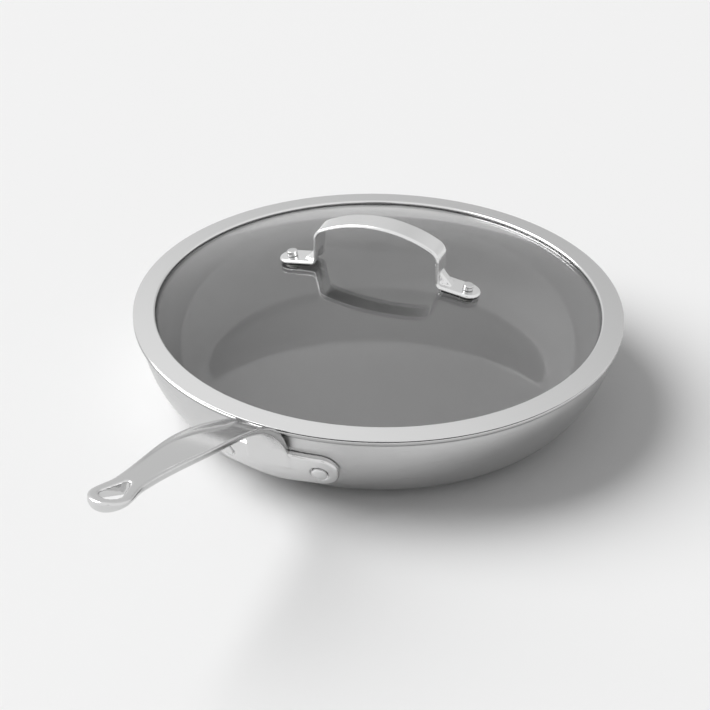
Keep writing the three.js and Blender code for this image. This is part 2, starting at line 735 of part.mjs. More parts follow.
function lid() {
  const group = new THREE.Group();
  group.position.z = SEAT_Z;
  group.rotation.z = radians(LID_TURN);
  let pane = solid(glassGeometry());
  for (const side of Object.values(SIDES)) {
    pane = pane.subtract(solid(footCylinder(side, glassBore, -2 * GLASS_T, GLASS_T)));
  }
  group.add(piece('lid_glass', geometryOf(pane), glass));
  group.add(piece('lid_band', closed(bandGeometry()), polishedSteel));
  group.add(piece('lid_seal', closed(sealGeometry()), silicone));
  group.add(piece('lid_handle', geometryOf(lidHandle()), brushedSteel));
  for (const [name, side] of Object.entries(SIDES)) group.add(footFixings(name, side));
  return group;
}

const coveredPan = new THREE.Group();
coveredPan.add(pan(), lid());

export default coveredPan;
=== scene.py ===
"""Looks of the covered frying pan: fine surfaces over the CAD frame, finishes, floor, light and camera."""

import json
import math

import bmesh
import bpy
import numpy as np
import openvdb
from mathutils import Matrix, Vector


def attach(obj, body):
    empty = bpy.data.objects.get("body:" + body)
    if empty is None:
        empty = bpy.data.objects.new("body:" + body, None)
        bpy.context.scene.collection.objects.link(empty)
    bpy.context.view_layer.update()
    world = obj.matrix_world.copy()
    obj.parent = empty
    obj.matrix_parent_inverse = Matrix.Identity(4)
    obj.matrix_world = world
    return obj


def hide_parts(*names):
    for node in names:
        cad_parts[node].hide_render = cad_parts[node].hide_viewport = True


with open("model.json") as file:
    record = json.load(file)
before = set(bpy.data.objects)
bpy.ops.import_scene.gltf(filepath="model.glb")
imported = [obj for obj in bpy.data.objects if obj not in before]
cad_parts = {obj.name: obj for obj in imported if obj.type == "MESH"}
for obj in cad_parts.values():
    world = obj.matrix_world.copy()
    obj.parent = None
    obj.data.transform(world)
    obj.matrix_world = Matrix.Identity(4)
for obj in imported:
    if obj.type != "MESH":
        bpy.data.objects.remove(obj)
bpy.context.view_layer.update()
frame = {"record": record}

MM = 0.001  # the sizes below are millimetres
SIDES = {"left": -1, "right": 1}

# Facets
ROUND = 256  # round the pan and the lid
SMALL_ROUND = 48  # round a rivet or a washer
BASE_STEPS = 11
WALL_STEPS = 48
LIP_STEPS = 10
EDGE_STEPS = 8
DOME_STEPS = 40
HEAD_STEPS = 8
BAND_CORNER_STEPS = 8
FOOT_END_STEPS = 24
FOOT_STEPS = 32
BEND_STEPS = 16
LEG_STEPS = 40
CORNER_STEPS = 24
ARCH_STEPS = 80
ACROSS_STEPS = 24  # across the strap
STRAP_EDGE_STEPS = 8
PAD_END_STEPS = 24
SHARP = 38  # degrees from which an edge stays sharp
SHARP_IF_ROUNDED = 60  # the same on pieces whose edges are rounded
WALL_LINE_STEPS = 800
SPINE_STEPS = 1200
TABLE_GRID = 0.5  # pitch of the tables of places along the wall and the handle
HANDLE_GRID = 0.7  # pitch of the grid that the cast handle is drawn from

# Pan shell
BASE_R = 107
BASE_PULL = 36.4  # pull of the wall's curve at the base
WALL_R = 154
WALL_H = 54
WALL_PULL = 13  # pull of the wall's curve at its top
WALL_LEAN = 1  # degrees off upright at its top
LIP_OUT = 4
LIP_RISE = 3
OUTER_PLY = 0.5
CORE = 1.5
INNER_PLY = 0.5
COATING = 0.25
BOND_GAP = 0.05

# Pan handle
BRACKET_H = 33.3  # height of the bracket's middle line
BRACKET_GAP = 0.3
BRACKET_T = 4.5
BRACKET_END_R = 11.6
BRACKET_BELLY = 3.6
BRACKET_EDGE = 2.2
RIVET_SPACING = 60
NECK_ROOT_UP = 3.4  # how far up from that line the neck starts
NECK_SET_BACK = 2.5
NECK_PULL = 52.5
NECK_ANGLE = 77.6  # degrees over level at the root
GRIP_PULL = 100.6
GRIP_ANGLE = 11.2  # degrees over level at the tip
HANDLE_REACH = 185.8  # from the neck's root to the tip, measured level
HANDLE_RISE = 87.8
NECK_SIDE = 2.2
GRIP_SIDE = 3.6
NECK_RISE = 3.2  # how far the rims rise at the neck
RISE_AT = 30
RISE_END = 80  # where the rims have come down again
PANEL_AT = 60  # where the panel is deepest
PANEL_START = 31  # where the panel ends at the neck
NECK_DEPTH = 1.6  # the panel's depth at the neck's crest
PANEL_DEPTH = 3.2  # its depth where it is deepest
PANEL_SLOPE = 1.8  # width of the slope from a rim to the panel
NECK_HOLLOW = 1.6  # how far the neck is hollowed from below
HOLLOW_AT = 25
GRIP_BELLY = 3.4
WAIST_BELLY = 4.8
TIP_BELLY = 2.5
ROOT_WIDTH = 27
CREST_AT = 41
CREST_WIDTH = 22.6
BELLY_AT = 110
BELLY_WIDTH = 28
WAIST_AT = 185
WAIST_WIDTH = 17.4
TIP_R = 11.5
HOLE_R = 6.3
HOLE_NOSE_R = 2.2
HOLE_LENGTH = 24.2
TIP_WALL = 6
ROOT_BLEND = 2.4  # how widely the neck flows into the bracket
RIM_WIDTH = 1.1  # level top of each rim
RIM_EDGE = 1.2  # rounding of the rims' outer edges
SIDE_EDGE = 0.7  # rounding of the sides' lower edges
TIP_EDGE = 2.2  # rounding under the tip
PANEL_END = 5  # half the length of the slope that ends the panel at the neck
PANEL_BOW = 8  # how far that slope bows towards the neck
HOLE_EDGE = 0.9  # rounding of the hanging hole's rim
COUNTERBORE_EDGE = 0.5
NECK_START = -2  # where the neck begins on its spine, inside the bracket
NEAR_WALL = 8  # how far past the wall's radius the casting is fitted to the wall

# Pan handle's rivets
RIVET_R = 3
RIVET_HEAD_R = 4.8
RIVET_HEAD_H = 2.2
COUNTERBORE_R = 5.7
COUNTERBORE_DEPTH = 1.1
INNER_HEAD_R = 5.6
INNER_HEAD_H = 1.6
INNER_HEAD_GAP = 0.8
HEAD_UPRIGHT = 0.5  # share of a head's height that stands upright

# Lid
BALL_R = 412
GLASS_T = 4
GLASS_LEVEL = 0.2
GLASS_EDGE_GAP = 2.3
BAND_WIDTH = 14.25
BAND_T = 0.5
BAND_EDGE_H = 1.1
BAND_LIP_H = 2.35
BAND_LIP_DROP = 1.7
GROOVE = 0.65  # how much the bead rises from the lip at its outer edge, as a dark line
GROOVE_WIDTH = 3 * GROOVE
GROOVE_CORNER = 0.5
BEAD_ROUND = 0.9  # how nearly the bead is a half round
BAND_CUT_EDGE = 0.1  # rounding of the band's cut edges
BAND_INNER_FOLD = 0.2  # rounding inside and outside the folds of the skirt
BAND_OUTER_FOLD = 0.6
SKIRT_CORNER = 0.3  # rounding between the skirt and the band's underside
LIP_CLOSE = 0.3  # how much nearer to the glass the fine lip comes
LIP_ROUND = 1.3  # rounding of the lip's inner edge, down to the glass
SKIRT_GAP = 1.4
LEDGE_DROP = 1
LEDGE_WIDTH = 5.4
BED_GAP = 0.1

# Lid handle
STRAP_W = 17
STRAP_T = 2
STRAP_EDGE = 1.5  # rounding of the upper edges
STRAP_LOW_EDGE = 0.4  # rounding of the lower edges
FOOT_OUT = 59.2
LEG_OUT = 41.3
STRAP_TOP = 35.2
ARCH_R = 80
CORNER_R = 8
BEND_R = 3
GUSSET_LEG = 7.5
GUSSET_FLAT = 2.72  # half the width of the gusset's flat
GUSSET_END = 4.48  # half the width of all that is pressed
PAD_T = 1
PAD_INSET = 0.6
PAD_EDGE = [(0.3, 0), (0.08, 0.1), (0, 0.35)]  # insets and heights of a soft edge
PAD_MIDDLE = 1  # how far the pad's middle lies past that of its straight sides
STUD_R = 2
STUD_HEAD_R = 3.5
STUD_HEAD_H = 3.2
STUD_EDGE = 0.55
STUD_LOW_EDGE = 0.2
STUD_TAIL_R = 3.2
STUD_TAIL_H = 1
BUSH_WALL = 0.8
GASKET_R = 5
GASKET_T = 0.8
WASHER_R = 5
WASHER_T = 0.8
WASHER_EDGE = 0.25
CLEARANCE = 0.3
LID_TURN = 4.2

SHEET = OUTER_PLY + CORE + INNER_PLY + 2 * BOND_GAP
LINING = SHEET + BOND_GAP + COATING
LIP_R = WALL_R + LIP_OUT
LIP_Z = WALL_H + LIP_RISE
SEAT_Z = LIP_Z + SHEET + CLEARANCE


# Curves and meshes

def bezier(controls, t):
    """Points of a Bezier curve of any degree at the shares t."""
    controls = np.array(controls, float)
    t = np.asarray(t, float)[:, None]
    degree = len(controls) - 1
    return sum(
        math.comb(degree, i) * (1 - t) ** (degree - i) * t ** i * control
        for i, control in enumerate(controls)
    )


def lengths_along(points):
    """Distance from the first point to each point, along the line."""
    steps = np.hypot(*np.diff(points, axis=0).T)
    return np.concatenate([[0], np.cumsum(steps)])


def left_normals(points):
    """Unit normals on the left of a plane line."""
    tangent = np.gradient(points, axis=0)
    tangent /= np.hypot(tangent[:, 0], tangent[:, 1])[:, None]
    return np.stack([-tangent[:, 1], tangent[:, 0]], axis=1)


def arc(x, y, radius, start, end, steps):
    turn = np.linspace(start, end, steps + 1)
    return np.stack([x + radius * np.cos(turn), y + radius * np.sin(turn)], axis=1)


def rounded(corners, steps=4):
    """A closed outline from (x, y, radius) corners, each rounded by an arc of that radius."""
    points = []
    count = len(corners)
    for i, (x, y, radius) in enumerate(corners):
        here = np.array([x, y], float)
        before = np.array(corners[i - 1][:2], float) - here
        after = np.array(corners[(i + 1) % count][:2], float) - here
        if radius == 0:
            points.append(here)
            continue
        before /= np.linalg.norm(before)
        after /= np.linalg.norm(after)
        half = math.acos(np.clip(before @ after, -1, 1)) / 2
        reach = radius / math.tan(half)
        middle = (before + after) / np.linalg.norm(before + after)
        centre = here + middle * radius / math.sin(half)
        first, last = here + before * reach - centre, here + after * reach - centre
        start = math.atan2(first[1], first[0])
        sweep = math.atan2(last[1], last[0]) - start
        sweep = (sweep + math.pi) % (2 * math.pi) - math.pi
        points.extend(arc(*centre, radius, start, start + sweep, steps))
    return np.array(points)


def skin(rings, closed_along=False):
    """Quads over an array of rings, shaped (rings, points, 3), each ring closed on itself."""
    count, size = rings.shape[:2]
    faces = []
    for j in range(count if closed_along else count - 1):
        k = (j + 1) % count
        for i in range(size):
            n = (i + 1) % size
            faces.append((j * size + i, j * size + n, k * size + n, k * size + i))
    if not closed_along:
        faces.append(tuple(range(size))[::-1])
        faces.append(tuple((count - 1) * size + i for i in range(size)))
    return rings.reshape(-1, 3), faces


def turned(profile, segments=ROUND):
    """A closed profile of (radius, height) turned about Z."""
    turn = np.arange(segments) * 2 * math.pi / segments
    radius, height = np.asarray(profile, float).T
    rings = np.stack([
        np.cos(turn)[:, None] * radius,
        np.sin(turn)[:, None] * radius,
        np.broadcast_to(height, (segments, len(height))),
    ], axis=2)
    return skin(rings, closed_along=True)


def mesh_of(name, vertices, faces, sharp_angle=SHARP):
    """A clean mesh in metres with its faces out, smooth but for edges sharper than the angle."""
    mesh = bpy.data.meshes.new(name)
    mesh.from_pydata((np.asarray(vertices) * MM).tolist(), [], faces)
    work = bmesh.new()
    work.from_mesh(mesh)
    bmesh.ops.remove_doubles(work, verts=work.verts, dist=1e-7)
    bmesh.ops.recalc_face_normals(work, faces=work.faces)
    work.to_mesh(mesh)
    work.free()
    mesh.polygons.foreach_set("use_smooth", [True] * len(mesh.polygons))
    mesh.set_sharp_from_angle(angle=math.radians(sharp_angle))
    return mesh


BODY_OF = {
    node: body for body, nodes in frame["record"]["behaviour"]["bodies"].items() for node in nodes
}


def stand_for(node, mesh, material):
    """A fine piece in a CAD node's place, on its body, with its material."""
    mesh.materials.append(material)
    piece = bpy.data.objects.new(node + "_shape", mesh)
    bpy.context.scene.collection.objects.link(piece)
    flat = piece.modifiers.new("flat_faces_stay_flat", "WEIGHTED_NORMAL")
    flat.keep_sharp = True
    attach(piece, BODY_OF[node])
    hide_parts(node)
    return piece


# Node materials

def colour(code):
    """Linear colour of an sRGB hex code."""
    parts = [int(code[i:i + 2], 16) / 255 for i in (1, 3, 5)]
    lin = [c / 12.92 if c <= 0.04045 else ((c + 0.055) / 1.055) ** 2.4 for c in parts]
    return (*lin, 1)


def add(tree, kind, inputs=None, **settings):
    """A node with its settings, and its inputs set or linked by name or number."""
    made = tree.nodes.new(kind)
    for key, value in settings.items():
        setattr(made, key, value)
    for key, value in (inputs or {}).items():
        if isinstance(value, bpy.types.NodeSocket):
            tree.links.new(value, made.inputs[key])
        else:
            made.inputs[key].default_value = value
    return made


def new_material(name, inputs):
    """A material with one Principled shader, its plain inputs set."""
    material = bpy.data.materials.new(name)
    material.use_nodes = True
    tree = material.node_tree
    shader = tree.nodes["Principled BSDF"]
    for key, value in inputs.items():
        shader.inputs[key].default_value = value
    return material, tree, shader


NOISE_SPAN = {"From Min": 0.3, "From Max": 0.7}  # most of a noise lies between these
WIPED = (0.92, 1.1)  # least and most of a wiped metal's roughness


def polar(tree, along_mm, across_mm):
    """Object coordinates as turns round Z and distance across them, for marks that run round the pan."""
    place = add(tree, "ShaderNodeTexCoord")
    split = add(tree, "ShaderNodeSeparateXYZ", {0: place.outputs["Object"]})
    angle = add(tree, "ShaderNodeMath", {0: split.outputs["Y"], 1: split.outputs["X"]}, operation="ARCTAN2")
    flat = add(tree, "ShaderNodeCombineXYZ", {"X": split.outputs["X"], "Y": split.outputs["Y"]})
    radius = add(tree, "ShaderNodeVectorMath", {0: flat.outputs[0]}, operation="LENGTH")
    out = add(tree, "ShaderNodeMath", {0: radius.outputs["Value"], 1: split.outputs["Z"]}, operation="ADD")
    along = add(tree, "ShaderNodeMath", {0: angle.outputs[0], 1: LIP_R / along_mm}, operation="MULTIPLY")
    across = add(tree, "ShaderNodeMath", {0: out.outputs[0], 1: 1 / (across_mm * MM)}, operation="MULTIPLY")
    return add(tree, "ShaderNodeCombineXYZ", {"X": along.outputs[0], "Y": across.outputs[0]})


def brushed_stainless():
    """Stainless steel brushed round the wall: lines run level, and stretch each reflection upright."""
    material, tree, shader = new_material("stainless_brushed", {
        "Base Color": colour("#d0d0d0"), "Metallic": 1, "Roughness": 0.34, "Anisotropic": 0.75,
    })
    # Brush lines are about 0.05 mm apart, drawn ten times as coarse so that they show.
    lines = add(tree, "ShaderNodeTexNoise", {
        "Vector": polar(tree, 45, 0.5).outputs[0], "Scale": 1, "Detail": 3, "Roughness": 0.6,
    })
    rough = add(tree, "ShaderNodeMapRange", {
        "Value": lines.outputs[0], **NOISE_SPAN, "To Min": 0.27, "To Max": 0.42,
    })
    bump = add(tree, "ShaderNodeBump", {"Height": lines.outputs[0], "Strength": 0.12, "Distance": 0.05 * MM})
    tangent = add(tree, "ShaderNodeTangent", direction_type="RADIAL", axis="Z")
    tree.links.new(rough.outputs[0], shader.inputs["Roughness"])
    tree.links.new(bump.outputs[0], shader.inputs["Normal"])
    tree.links.new(tangent.outputs[0], shader.inputs["Tangent"])
    return material


def polished_stainless(name, code, roughness, wear_mm):
    """Stainless steel polished bright or satin: even reflections, a little softer where it was wiped."""
    material, tree, shader = new_material(name, {
        "Base Color": colour(code), "Metallic": 1, "Roughness": roughness,
    })
    place = add(tree, "ShaderNodeTexCoord")
    wear = add(tree, "ShaderNodeTexNoise", {
        "Vector": place.outputs["Object"], "Scale": 1 / (wear_mm * MM), "Detail": 4, "Roughness": 0.6,
    })
    rough = add(tree, "ShaderNodeMapRange", {
        "Value": wear.outputs[0], **NOISE_SPAN,
        "To Min": WIPED[0] * roughness, "To Max": WIPED[1] * roughness,
    })
    tree.links.new(rough.outputs[0], shader.inputs["Roughness"])
    return material


def cast_stainless():
    """Investment-cast stainless steel, tumbled and polished: soft even gloss over slightly uneven faces."""
    material, tree, shader = new_material("stainless_cast", {
        "Base Color": colour("#d6d6d6"), "Metallic": 1, "Roughness": 0.12,
    })
    place = add(tree, "ShaderNodeTexCoord")
    grain = add(tree, "ShaderNodeTexNoise", {
        "Vector": place.outputs["Object"], "Scale": 1 / (0.8 * MM), "Detail": 4, "Roughness": 0.6,
    })
    rough = add(tree, "ShaderNodeMapRange", {
        "Value": grain.outputs[0], **NOISE_SPAN, "To Min": 0.1, "To Max": 0.16,
    })
    bump = add(tree, "ShaderNodeBump", {"Height": grain.outputs[0], "Strength": 0.1, "Distance": 0.04 * MM})
    tree.links.new(rough.outputs[0], shader.inputs["Roughness"])
    tree.links.new(bump.outputs[0], shader.inputs["Normal"])
    return material


def aluminium_core():
    """Rolled aluminium, turned at the sheet's edge: a duller line between the two bright plies."""
    material, tree, shader = new_material("aluminium_turned", {
        "Base Color": colour("#b0b0b0"), "Metallic": 1, "Roughness": 0.3,
    })
    lines = add(tree, "ShaderNodeTexNoise", {
        "Vector": polar(tree, 8, 0.3).outputs[0], "Scale": 1, "Detail": 2,
    })
    rough = add(tree, "ShaderNodeMapRange", {"Value": lines.outputs[0], "To Min": 0.24, "To Max": 0.36})
    tree.links.new(rough.outputs[0], shader.inputs["Roughness"])
    return material


def ceramic_coating():
    """Sol-gel ceramic, sprayed on and fired: mid grey with a glazed gloss, a little uneven as sprayed."""
    material, tree, shader = new_material("ceramic_sprayed", {
        "Base Color": colour("#545454"), "Roughness": 0.08, "IOR": 1.5,
    })
    place = add(tree, "ShaderNodeTexCoord")
    spray = add(tree, "ShaderNodeTexNoise", {
        "Vector": place.outputs["Object"], "Scale": 1 / (25 * MM), "Detail": 1,
    })
    grey = add(tree, "ShaderNodeMix", {
        "Factor": spray.outputs[0], "A": colour("#525252"), "B": colour("#565656"),
    }, data_type="RGBA")
    rough = add(tree, "ShaderNodeMapRange", {"Value": spray.outputs[0], "To Min": 0.07, "To Max": 0.09})
    tree.links.new(grey.outputs["Result"], shader.inputs["Base Color"])
    tree.links.new(rough.outputs[0], shader.inputs["Roughness"])
    return material


def black_silicone():
    """Moulded silicone rubber: near black, with a dull waxy gloss and a faint bloom."""
    material, tree, shader = new_material("silicone_moulded", {
        "Base Color": colour("#1b1b1c"), "Roughness": 0.55, "IOR": 1.41,
    })
    place = add(tree, "ShaderNodeTexCoord")
    bloom = add(tree, "ShaderNodeTexNoise", {
        "Vector": place.outputs["Object"], "Scale": 1 / (2 * MM), "Detail": 3,
    })
    rough = add(tree, "ShaderNodeMapRange", {"Value": bloom.outputs[0], "To Min": 0.45, "To Max": 0.7})
    tree.links.new(rough.outputs[0], shader.inputs["Roughness"])
    return material


def clear_silicone():
    """Unpigmented silicone rubber: milky, so that a sleeve of it in the glass shows only as a pale ring."""
    material, tree, shader = new_material("silicone_clear", {
        "Base Color": colour("#d9d9d6"), "Roughness": 0.4, "IOR": 1.41, "Transmission Weight": 0.5,
    })
    place = add(tree, "ShaderNodeTexCoord")
    bloom = add(tree, "ShaderNodeTexNoise", {
        "Vector": place.outputs["Object"], "Scale": 1 / (2 * MM), "Detail": 3,
    })
    rough = add(tree, "ShaderNodeMapRange", {"Value": bloom.outputs[0], "To Min": 0.3, "To Max": 0.5})
    tree.links.new(rough.outputs[0], shader.inputs["Roughness"])
    return material


def toughened_glass():
    """Soda-lime glass, pressed and toughened: clear, with one crisp reflection on each face."""
    material, _, _ = new_material("glass_toughened", {
        "Base Color": colour("#fcfcfc"), "Roughness": 0, "IOR": 1.52, "Transmission Weight": 1,
    })
    return material


# Pan shell

UPRIGHT = np.array([math.sin(math.radians(WALL_LEAN)), math.cos(math.radians(WALL_LEAN))])
WALL_TOP = np.array([WALL_R, WALL_H])
WALL_CONTROLS = [(BASE_R, 0), (BASE_R + BASE_PULL, 0), WALL_TOP - WALL_PULL * UPRIGHT, WALL_TOP]
LIP_CONTROLS = [WALL_TOP, WALL_TOP + LIP_RISE * UPRIGHT, (LIP_R, LIP_Z)]


def sheet_line(depth, with_lip):
    """The sheet's line at a depth inside its outside face, from the axis outwards."""
    line = bezier(WALL_CONTROLS, np.linspace(0, 1, WALL_STEPS + 1))
    if with_lip:
        line = np.vstack([line, bezier(LIP_CONTROLS, np.linspace(0, 1, LIP_STEPS + 1))[1:]])
    normals = left_normals(line)
    normals[0] = (0, 1)
    if with_lip:
        normals[-1] = (0, 1)
    flat = np.linspace(0, BASE_R, BASE_STEPS + 1)[:-1]
    floor = np.stack([flat, np.full(len(flat), depth)], axis=1)
    return np.vstack([floor, line + depth * normals])


def edge_set_back(depth):
    """How far the half-round edge of the lip lies back at a depth in the sheet."""
    half = SHEET / 2
    return half - math.sqrt(max(half ** 2 - (half - depth) ** 2, 0))


def shell(outside, inside, with_lip=True):
    """One ply between two depths. With the other plies it shares the lip's half-round edge."""
    outer, inner = sheet_line(outside, with_lip), sheet_line(inside, with_lip)
    if not with_lip:
        return turned(np.vstack([outer, inner[::-1]]))
    depths = np.linspace(outside, inside, EDGE_STEPS)
    edge = np.array([(LIP_R - edge_set_back(depth), LIP_Z + depth) for depth in depths])
    return turned(np.vstack([outer[:-1], edge, inner[:-1][::-1]]))


def make_pan(steel, bright, aluminium, ceramic):
    core_in = OUTER_PLY + BOND_GAP
    inner_in = core_in + CORE + BOND_GAP
    plies = [
        ("pan_outer_ply", 0, OUTER_PLY, True, steel),
        ("pan_core", core_in, core_in + CORE, True, aluminium),
        ("pan_inner_ply", inner_in, SHEET, True, bright),
        ("nonstick_coating", SHEET + BOND_GAP, LINING, False, ceramic),
    ]
    for node, outside, inside, with_lip, material in plies:
        stand_for(node, mesh_of(node, *shell(outside, inside, with_lip)), material)


# Places on the wall

wall_line = bezier(WALL_CONTROLS, np.linspace(0, 1, WALL_LINE_STEPS + 1))
wall_length = lengths_along(wall_line)
bracket_at = np.interp(BRACKET_H, wall_line[:, 1], wall_length)


def on_wall(up, out):
    """Radius and height of a point up the wall from the bracket's middle line, and out from it."""
    at = bracket_at + up
    point = np.array([np.interp(at, wall_length, wall_line[:, i]) for i in (0, 1)])
    normals = left_normals(wall_line)
    normal = np.array([np.interp(at, wall_length, normals[:, i]) for i in (0, 1)])
    return point - out * normal


SEAT_R = on_wall(0, 0)[0]
RIVET_ANGLE = math.asin(RIVET_SPACING / 2 / SEAT_R)
RIVET_ARC = RIVET_ANGLE * SEAT_R
HEAD_SEAT = BRACKET_GAP + BRACKET_T - COUNTERBORE_DEPTH


def around(point, angle):
    """Radius and height turned about the axis from the handle's direction."""
    radius, height = point
    return Vector((radius * math.sin(angle), -radius * math.cos(angle), height))


def rivet_place(side):
    """A frame at a rivet: Z points out of the wall, the origin is on the sheet's outside face."""
    foot = around(on_wall(0, 0), side * RIVET_ANGLE)
    out = around(on_wall(0, 1), side * RIVET_ANGLE) - foot
    turn = Vector((0, 0, 1)).rotation_difference(out).to_matrix().to_4x4()
    return Matrix.Translation(foot) @ turn


def placed(vertices, place):
    """Vertices moved by a matrix."""
    matrix = np.array(place)
    return np.asarray(vertices) @ matrix[:3, :3].T + matrix[:3, 3]


# Cast handle: a field that is negative inside the metal

AT_ONCE = 2000  # entries of a table that are worked out at a time
LAST_CELL = 1.001  # pitches from a table's end to inside its last cell
FAR = 1000.0  # farther off than any point of the handle


def line_table(line, low, high):
    """Arc length along a plane line and offset to its left, tabled over a box of the plane."""
    at = lengths_along(line)
    normals = left_normals(line)
    a = np.arange(low[0], high[0] + TABLE_GRID, TABLE_GRID)
    b = np.arange(low[1], high[1] + TABLE_GRID, TABLE_GRID)
    grid = np.stack(np.meshgrid(a, b, indexing="ij"), axis=-1).reshape(-1, 2)
    tangents = np.stack([normals[:, 1], -normals[:, 0]], axis=1)
    along, offset = np.empty(len(grid)), np.empty(len(grid))
    for part in np.array_split(np.arange(len(grid)), len(grid) // AT_ONCE + 1):
        gap = grid[part, None, :] - line[None]
        near = (gap ** 2).sum(2).argmin(1)
        gap = gap[np.arange(len(part)), near]
        along[part] = at[near] + (gap * tangents[near]).sum(1)
        offset[part] = (gap * normals[near]).sum(1)
    shape = (len(a), len(b))
    return {"low": low, "along": along.reshape(shape), "offset": offset.reshape(shape)}


def look_up(table, a, b):
    """Arc length and offset at points of the plane, between the table's entries."""
    rows, columns = table["along"].shape
    u = np.clip((a - table["low"][0]) / TABLE_GRID, 0, rows - LAST_CELL)
    v = np.clip((b - table["low"][1]) / TABLE_GRID, 0, columns - LAST_CELL)
    i, j = u.astype(int), v.astype(int)
    u, v = u - i, v - j
    found = []
    for name in ("along", "offset"):
        t = table[name]
        low = t[i, j] * (1 - u) + t[i + 1, j] * u
        high = t[i, j + 1] * (1 - u) + t[i + 1, j + 1] * u
        found.append(low * (1 - v) + high * v)
    return found


def smooth_step(x, low, high):
    t = np.clip((x - low) / (high - low), 0, 1)
    return t * t * (3 - 2 * t)


def keyed(at, keys):
    """A value eased between (place, value) keys."""
    value = np.full_like(at, keys[0][1])
    for (low, start), (high, end) in zip(keys, keys[1:]):
        value = value + (end - start) * smooth_step(at, low, high)
    return value


def blend_union(a, b, reach):
    """Both bodies, with a fillet where they meet."""
    h = np.clip(0.5 + 0.5 * (b - a) / reach, 0, 1)
    return b + (a - b) * h - reach * h * (1 - h)


def round_cut(a, b, radius):
    """What lies inside both fields, with the edge between them rounded."""
    u, v = a + radius, b + radius
    outside = np.hypot(np.maximum(u, 0), np.maximum(v, 0))
    return outside + np.minimum(np.maximum(u, v), 0) - radius


def at_angle(degrees, length):
    return length * np.array([math.cos(math.radians(degrees)), math.sin(math.radians(degrees))])


neck_root = on_wall(NECK_ROOT_UP, BRACKET_GAP + BRACKET_T - NECK_SET_BACK)
grip_tip = neck_root + (HANDLE_REACH, HANDLE_RISE)
SPINE_CONTROLS = [
    neck_root, neck_root + at_angle(NECK_ANGLE, NECK_PULL),
    grip_tip - at_angle(GRIP_ANGLE, GRIP_PULL), grip_tip,
]
spine = bezier(SPINE_CONTROLS, np.linspace(0, 1, SPINE_STEPS + 1))
SPINE_LENGTH = lengths_along(spine)[-1]
TIP_CENTRE = SPINE_LENGTH - TIP_R
# Radius and height at the low and high corners of boxes that hold the handle, and the wall by its bracket
SPINE_BOX = ((135, 10), (350, 132))
WALL_BOX = ((120, 5), (185, 70))
spine_table = line_table(spine, *SPINE_BOX)
wall_table = line_table(wall_line, *WALL_BOX)


def plan_field(at, across):
    """The grip's outline seen from above: belly, waist and round tip."""
    keys = [
        (0, ROOT_WIDTH), (CREST_AT, CREST_WIDTH), (BELLY_AT, BELLY_WIDTH),
        (WAIST_AT, WAIST_WIDTH), (TIP_CENTRE, 2 * TIP_R),
    ]
    side = np.abs(across) - keyed(np.minimum(at, TIP_CENTRE), keys) / 2
    tip = np.hypot(across, at - TIP_CENTRE) - TIP_R
    return np.where(at > TIP_CENTRE, tip, side), side


def hole_field(at, across):
    """The hanging hole: a drop with its narrow end towards the pan."""
    apart = HOLE_LENGTH - HOLE_R - HOLE_NOSE_R
    y = SPINE_LENGTH - TIP_WALL - HOLE_R - at
    x = np.abs(across)
    lean = (HOLE_R - HOLE_NOSE_R) / apart
    rise = math.sqrt(1 - lean ** 2)
    share = rise * y - lean * x
    big = np.hypot(x, y) - HOLE_R
    small = np.hypot(x, y - apart) - HOLE_NOSE_R
    flank = rise * x + lean * y - HOLE_R
    return np.where(share < 0, big, np.where(share > rise * apart, small, flank))


def back_level(at, across, half):
    """Height of the grip's back over its spine: two rims that rise at the neck, and the panel between."""
    rim = np.maximum(half - RIM_WIDTH, 0.5 * half)
    rise = keyed(at, [(0, 0), (RISE_AT, NECK_RISE), (RISE_END, 0)])
    depth = keyed(at, [(CREST_AT, NECK_DEPTH), (PANEL_AT, PANEL_DEPTH), (WAIST_AT, 0)])
    inside = smooth_step(rim - np.abs(across), 0, np.minimum(PANEL_SLOPE, 0.5 * half))
    bowed = at - PANEL_BOW * (across / rim) ** 2
    begun = smooth_step(bowed, PANEL_START - PANEL_END, PANEL_START + PANEL_END)
    return rise - depth * inside * begun


def grip_field(x, y, z):
    """The neck and grip between two rims, with upright sides: hollow under the neck, full under the grip."""
    at, up = look_up(spine_table, -y, z)
    outline, side = plan_field(at, x)
    half = np.maximum(np.abs(x) - side, 1)
    side_h = keyed(at, [(CREST_AT, NECK_SIDE), (BELLY_AT, GRIP_SIDE)])
    belly = keyed(at, [
        (HOLLOW_AT, -NECK_HOLLOW), (PANEL_AT, GRIP_BELLY), (BELLY_AT, GRIP_BELLY),
        (WAIST_AT, WAIST_BELLY), (TIP_CENTRE, TIP_BELLY),
    ])
    above = up - back_level(at, x, half)
    below = -up - side_h - belly * np.clip(1 - (x / half) ** 2, 0, 1)
    low_edge = keyed(at, [(WAIST_AT, SIDE_EDGE), (TIP_CENTRE, TIP_EDGE)])
    body = round_cut(round_cut(outline, above, RIM_EDGE), below, low_edge)
    body = np.maximum(body, NECK_START - at)
    return round_cut(body, -hole_field(at, x), HOLE_EDGE)


def bracket_field(x, y, z):
    """The bracket: a plate that follows the wall, with round ends, a belly and a rounded outer edge."""
    at, offset = look_up(wall_table, np.hypot(x, y), z)
    up, out = at - bracket_at, -offset
    along = np.abs(np.arctan2(x, -y)) * SEAT_R
    belly = BRACKET_BELLY * (1 + np.cos(math.pi * np.clip(along / RIVET_ARC, 0, 1))) / 2
    past = np.maximum(along - RIVET_ARC, 0)
    drop = np.where(up < 0, belly, 0)
    outline = np.hypot(past, np.maximum(np.abs(up) - drop, 0)) - BRACKET_END_R
    front = out - BRACKET_GAP - BRACKET_T
    back = BRACKET_GAP - out
    return np.maximum(round_cut(outline, front, BRACKET_EDGE), back)


into_rivets = [np.array(rivet_place(side).inverted()) for side in SIDES.values()]


